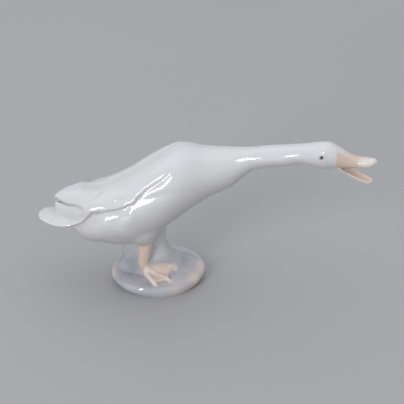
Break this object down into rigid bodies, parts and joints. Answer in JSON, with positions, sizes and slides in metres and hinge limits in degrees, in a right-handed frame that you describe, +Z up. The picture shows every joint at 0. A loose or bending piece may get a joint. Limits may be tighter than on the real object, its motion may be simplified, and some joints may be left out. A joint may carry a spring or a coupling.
{
  "type": "goose figurine",
  "caption": "Glazed porcelain goose on a round mound, leaning forward with its neck stretched out and its beak open to honk; one casting with painted beak, feet and mound.",
  "frame": {"origin": "centre of the mound's flat underside", "axes": "+X toward the beak, +Y toward the goose's left side, +Z up"},
  "size_m": [0.2246, 0.0715, 0.1195],
  "materials": {
    "glazed_porcelain": "clear gloss glaze over white porcelain, with peach, grey and blue-grey underglaze colour"
  },
  "bodies": {
    "root": {"goose_figurine": "glazed_porcelain"}
  },
  "joints": []
}
